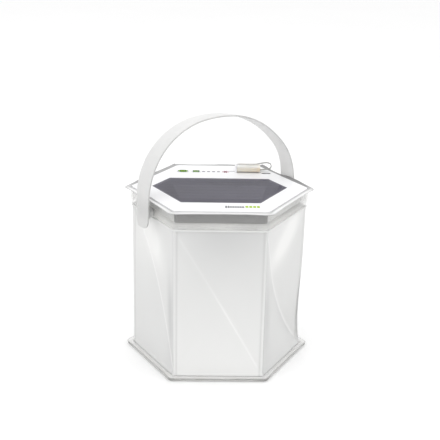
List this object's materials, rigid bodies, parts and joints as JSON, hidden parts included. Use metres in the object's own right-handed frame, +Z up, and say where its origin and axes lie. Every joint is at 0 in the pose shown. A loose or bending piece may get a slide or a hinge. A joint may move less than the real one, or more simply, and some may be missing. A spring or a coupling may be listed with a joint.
{
  "type": "collapsible solar lantern",
  "caption": "Collapsible hexagonal solar lantern: twist-fold film wall, rigid solar top with buttons and a capped USB plug, pivoting strap handle.",
  "frame": {"origin": "centre of the underside of the bottom film, on the surface that the lantern stands on", "axes": "+Z up through the handle, -Y out of the front face, corners of the hexagon on +X and -X"},
  "size_m": [0.1828, 0.1594, 0.2422],
  "materials": {
    "clear_film": "clear TPU film, slightly wavy",
    "clear_plastic": "clear, glossy",
    "wall_film": "frosted translucent TPU film",
    "frosted_plastic": "frosted translucent moulding",
    "white_print": "white print under gloss",
    "button_white": "white, with a green printed mark",
    "panel_border": "dark",
    "solar_cell": "dark grey-blue, glossy",
    "light_pipe": "grey translucent",
    "indicator_red": "reddish translucent",
    "chassis_grey": "moulded grey",
    "screw_steel": "plated",
    "foam": "black foam tape",
    "battery_foil": "foil pouch",
    "board_green": "solder mask",
    "led_package": "phosphor",
    "board_aluminium": "white-coated aluminium",
    "wire_red": "insulated wire",
    "plug_steel": "bright nickel",
    "plug_insulator": "white",
    "contact_gold": "gold plated",
    "cap_rubber": "cream silicone",
    "handle_film": "translucent off-white strap",
    "stud_plastic": "moulded white",
    "seal_rubber": "grey"
  },
  "bodies": {
    "base": {"bottom_film": "clear_film", "lower_hem": "clear_film", "base_plate": "clear_plastic"},
    "wall": {"lantern_wall": "wall_film"},
    "top": {"tray": "frosted_plastic", "rim_seal": "seal_rubber", "rim_film": "clear_film", "top_plate": "white_print", "solar_substrate": "panel_border", "solar_cells": "solar_cell", "panel_cover": "clear_plastic", "battery_leds": "light_pipe", "charge_indicator": "indicator_red", "chassis": "chassis_grey", "chassis_screws": "screw_steel", "board_screws": "screw_steel", "battery_pad": "foam", "battery_cell": "battery_foil", "circuit_board": "board_green", "tact_switches": "screw_steel", "board_leds": "led_package", "led_board": "board_aluminium", "led_screws": "screw_steel", "led_chips": "led_package", "diffuser": "frosted_plastic", "battery_leads": "wire_red", "panel_leads": "wire_red", "led_leads": "wire_red", "usb_mount": "white_print", "usb_plug_shell": "plug_steel", "usb_plug_tongue": "plug_insulator", "usb_contacts": "contact_gold", "pivot_studs": "stud_plastic"},
    "power_button": {"power_button": "button_white"},
    "battery_button": {"battery_button": "button_white"},
    "port_cap": {"port_cap": "cap_rubber", "cap_loop": "clear_plastic"},
    "handle": {"handle_strap": "handle_film"}
  },
  "joints": [
    {"name": "twist", "type": "hinge", "parent": "base", "child": "wall", "pos_m": [0, 0, 0], "axis": [0, 0, 1], "range_deg": [-120, 0]},
    {"name": "collapse", "type": "slide", "parent": "wall", "child": "top", "axis": [0, 0, -1], "range_m": [0, 0.1376], "deforming": ["lantern_wall"]},
    {"name": "handle_pivot", "type": "hinge", "parent": "top", "child": "handle", "pos_m": [0, 0, 0.15562], "axis": [0.866, 0.5, 0], "range_deg": [-30, 43]},
    {"name": "power_press", "type": "slide", "parent": "top", "child": "power_button", "axis": [0, 0, -1], "range_m": [0, 0.0005], "stiffness_N_per_m": 800},
    {"name": "battery_press", "type": "slide", "parent": "top", "child": "battery_button", "axis": [0, 0, -1], "range_m": [0, 0.0005], "stiffness_N_per_m": 800},
    {"name": "cap_pull", "type": "slide", "parent": "top", "child": "port_cap", "axis": [1, 0, 0], "range_m": [0, 0.0192]}
  ],
  "couplings": [
    {"joint": "twist", "follows": "collapse", "rad_per_m": -15.221}
  ]
}
